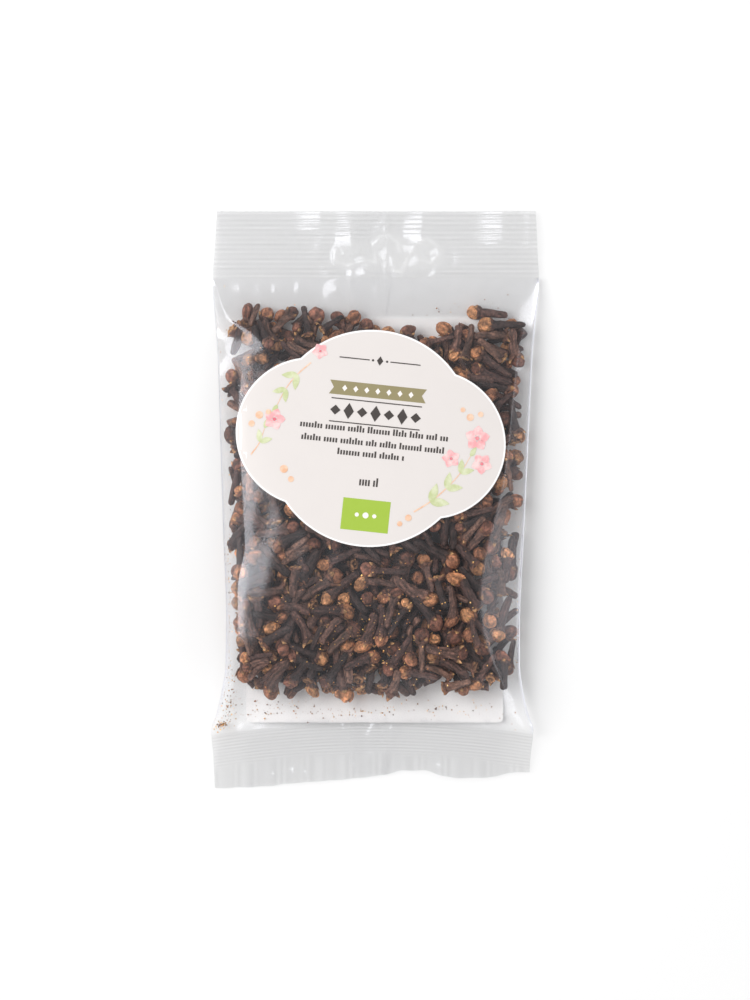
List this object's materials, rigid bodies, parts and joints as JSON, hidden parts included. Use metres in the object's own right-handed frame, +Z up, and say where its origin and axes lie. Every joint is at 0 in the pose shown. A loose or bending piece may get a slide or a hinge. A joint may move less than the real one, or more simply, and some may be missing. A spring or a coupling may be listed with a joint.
{
  "type": "clear bag of whole cloves",
  "caption": "Clear film bag of whole cloves, lying on its back, with crimped seals at both ends, a cloud-shaped front label and a plain rectangular back label.",
  "frame": {"origin": "on the table, under the middle of the bag's outline as it lies on its back label", "axes": "+X to the right across the bag, +Y along it to the header seal with the hang slot, +Z up, out of the front label"},
  "size_m": [0.098, 0.1729, 0.0178],
  "materials": {
    "film_over_cloves": "clear gloss over brown",
    "clear_film": "clear gloss",
    "whole_cloves": "dry and dull",
    "label_stock": "satin"
  },
  "bodies": {
    "root": {"bag": "film_over_cloves", "front_label": "label_stock", "back_label": "label_stock"}
  },
  "joints": []
}
